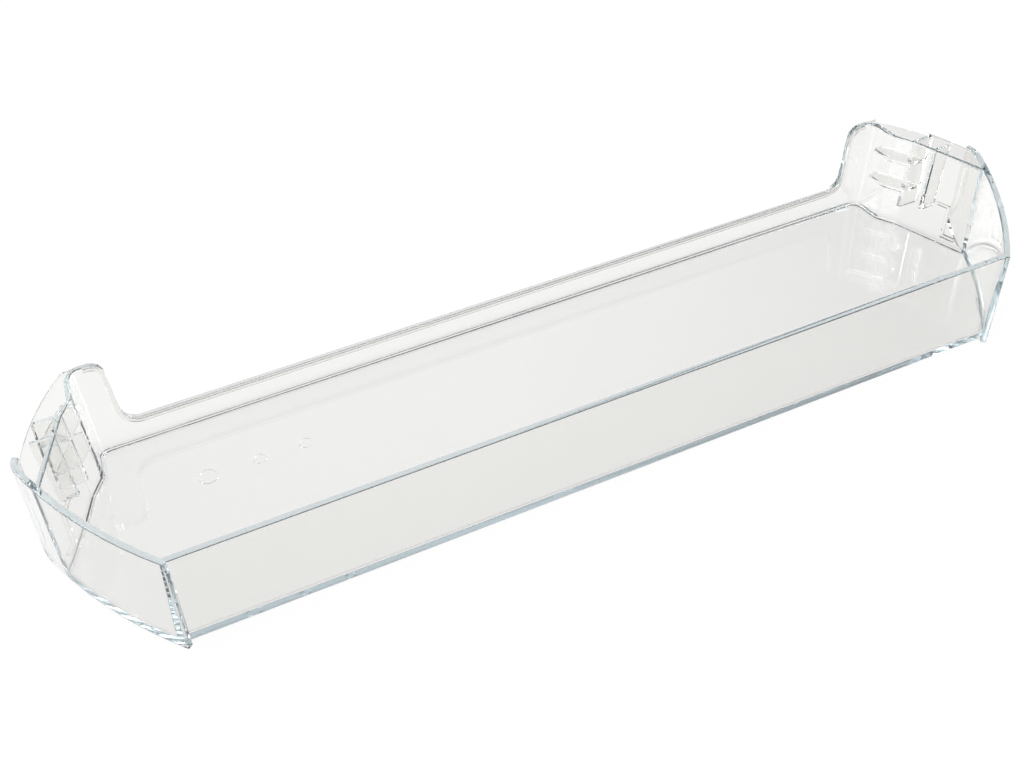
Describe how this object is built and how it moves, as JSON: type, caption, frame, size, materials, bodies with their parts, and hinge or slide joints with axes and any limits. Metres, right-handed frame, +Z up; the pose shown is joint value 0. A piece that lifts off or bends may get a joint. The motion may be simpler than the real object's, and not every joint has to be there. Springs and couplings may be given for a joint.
{
  "type": "fridge door shelf",
  "caption": "Clear moulded refrigerator door shelf: long shallow tray with a tall front wall, bowed end wings, low back wall, raised ears and hook pockets.",
  "frame": {"origin": "middle of the footprint, on the surface the shelf stands on", "axes": "+X along the shelf, -Y towards the long front wall, +Z up"},
  "size_m": [0.4822, 0.1217, 0.054],
  "materials": {
    "clear_plastic": "polished clear moulding"
  },
  "bodies": {
    "root": {"door_shelf": "clear_plastic"}
  },
  "joints": []
}
